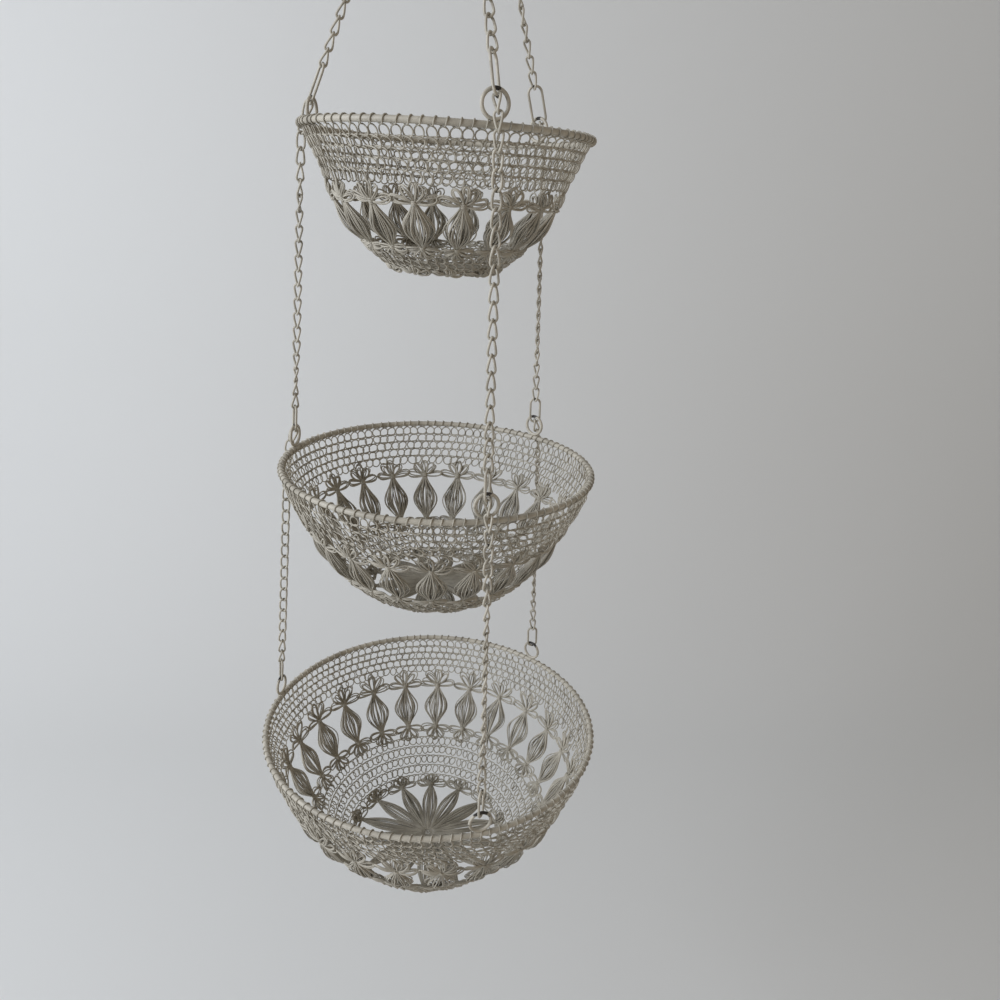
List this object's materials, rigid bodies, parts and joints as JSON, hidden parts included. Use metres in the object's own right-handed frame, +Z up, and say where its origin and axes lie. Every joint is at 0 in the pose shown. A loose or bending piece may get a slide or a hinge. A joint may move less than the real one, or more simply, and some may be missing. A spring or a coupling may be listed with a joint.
{
  "type": "hanging fruit basket",
  "caption": "Three-tier hanging fruit basket: round bowls of crocheted wire on link chains below a ring for a hook. The bowls grow wider downwards and each swings on the chains above it.",
  "frame": {"origin": "where the hook bears, inside the top of the hanging ring", "axes": "+Z up; the hanging ring lies in the XZ plane; -Y is the side nearest the camera of the picture"},
  "size_m": [0.3099, 0.3099, 0.9206],
  "materials": {
    "painted_link_wire": "satin off-white paint on bent steel wire, worn dark at the joints",
    "painted_rod": "satin off-white paint on steel rod",
    "painted_weave_wire": "satin off-white paint on thin crocheted steel wire"
  },
  "bodies": {
    "hook_ring": {"hanging_ring": "painted_link_wire"},
    "top_basket": {"upper_chain_left": "painted_link_wire", "upper_chain_front": "painted_link_wire", "upper_chain_back": "painted_link_wire", "top_long_link_left": "painted_link_wire", "top_long_link_front": "painted_link_wire", "top_long_link_back": "painted_link_wire", "top_rim": "painted_rod", "top_rim_ring_left": "painted_link_wire", "top_rim_ring_front": "painted_link_wire", "top_rim_ring_back": "painted_link_wire", "top_upper_weave": "painted_weave_wire", "top_spindles": "painted_weave_wire", "top_lower_weave": "painted_weave_wire", "top_base_petals": "painted_weave_wire", "top_lead_links_left": "painted_link_wire", "top_lead_links_front": "painted_link_wire", "top_lead_links_back": "painted_link_wire"},
    "middle_left_run": {"middle_chain_left": "painted_link_wire"},
    "middle_front_run": {"middle_chain_front": "painted_link_wire"},
    "middle_back_run": {"middle_chain_back": "painted_link_wire"},
    "middle_basket": {"middle_long_link_left": "painted_link_wire", "middle_long_link_front": "painted_link_wire", "middle_long_link_back": "painted_link_wire", "middle_rim": "painted_rod", "middle_rim_ring_left": "painted_link_wire", "middle_rim_ring_front": "painted_link_wire", "middle_rim_ring_back": "painted_link_wire", "middle_upper_weave": "painted_weave_wire", "middle_spindles": "painted_weave_wire", "middle_lower_weave": "painted_weave_wire", "middle_base_petals": "painted_weave_wire", "middle_lead_links_left": "painted_link_wire", "middle_lead_links_front": "painted_link_wire", "middle_lead_links_back": "painted_link_wire"},
    "bottom_left_run": {"bottom_chain_left": "painted_link_wire"},
    "bottom_front_run": {"bottom_chain_front": "painted_link_wire"},
    "bottom_back_run": {"bottom_chain_back": "painted_link_wire"},
    "bottom_basket": {"bottom_long_link_left": "painted_link_wire", "bottom_long_link_front": "painted_link_wire", "bottom_long_link_back": "painted_link_wire", "bottom_rim": "painted_rod", "bottom_rim_ring_left": "painted_link_wire", "bottom_rim_ring_front": "painted_link_wire", "bottom_rim_ring_back": "painted_link_wire", "bottom_upper_weave": "painted_weave_wire", "bottom_spindles": "painted_weave_wire", "bottom_lower_weave": "painted_weave_wire", "bottom_base_petals": "painted_weave_wire"}
  },
  "joints": [
    {"name": "basket_swing", "type": "hinge", "parent": "hook_ring", "child": "top_basket", "pos_m": [0, 0, -0.01191], "axis": [0, 1, 0], "range_deg": [-20, 20]},
    {"name": "middle_left_run_swing", "type": "hinge", "parent": "top_basket", "child": "middle_left_run", "pos_m": [-0.11086, 0.02994, -0.28396], "axis": [1, 0, 0], "range_deg": [-8, 8]},
    {"name": "middle_front_run_swing", "type": "hinge", "parent": "top_basket", "child": "middle_front_run", "pos_m": [0.02955, -0.11106, -0.28392], "axis": [1, 0, 0], "range_deg": [-8, 8]},
    {"name": "middle_back_run_swing", "type": "hinge", "parent": "top_basket", "child": "middle_back_run", "pos_m": [0.0813, 0.08112, -0.28395], "axis": [1, 0, 0], "range_deg": [-8, 8]},
    {"name": "middle_basket_level", "type": "hinge", "parent": "middle_left_run", "child": "middle_basket", "pos_m": [-0.12265, 0.0331, -0.48638], "axis": [1, 0, 0], "range_deg": [-8, 8]},
    {"name": "bottom_left_run_swing", "type": "hinge", "parent": "middle_basket", "child": "bottom_left_run", "pos_m": [-0.13173, 0.03554, -0.53849], "axis": [0, 1, 0], "range_deg": [-7, 7]},
    {"name": "bottom_front_run_swing", "type": "hinge", "parent": "middle_basket", "child": "bottom_front_run", "pos_m": [0.03508, -0.13185, -0.53849], "axis": [0, 1, 0], "range_deg": [-7, 7]},
    {"name": "bottom_back_run_swing", "type": "hinge", "parent": "middle_basket", "child": "bottom_back_run", "pos_m": [0.09665, 0.09631, -0.53849], "axis": [0, 1, 0], "range_deg": [-7, 7]},
    {"name": "bottom_basket_level", "type": "hinge", "parent": "bottom_front_run", "child": "bottom_basket", "pos_m": [0.03875, -0.14564, -0.74082], "axis": [0, 1, 0], "range_deg": [-7, 7]}
  ],
  "couplings": [
    {"joint": "middle_front_run_swing", "follows": "middle_left_run_swing", "ratio": 1},
    {"joint": "middle_back_run_swing", "follows": "middle_left_run_swing", "ratio": 1},
    {"joint": "middle_basket_level", "follows": "middle_left_run_swing", "ratio": -0.90389},
    {"joint": "bottom_left_run_swing", "follows": "bottom_front_run_swing", "ratio": 1},
    {"joint": "bottom_back_run_swing", "follows": "bottom_front_run_swing", "ratio": 1},
    {"joint": "bottom_basket_level", "follows": "bottom_front_run_swing", "ratio": -0.90531}
  ]
}
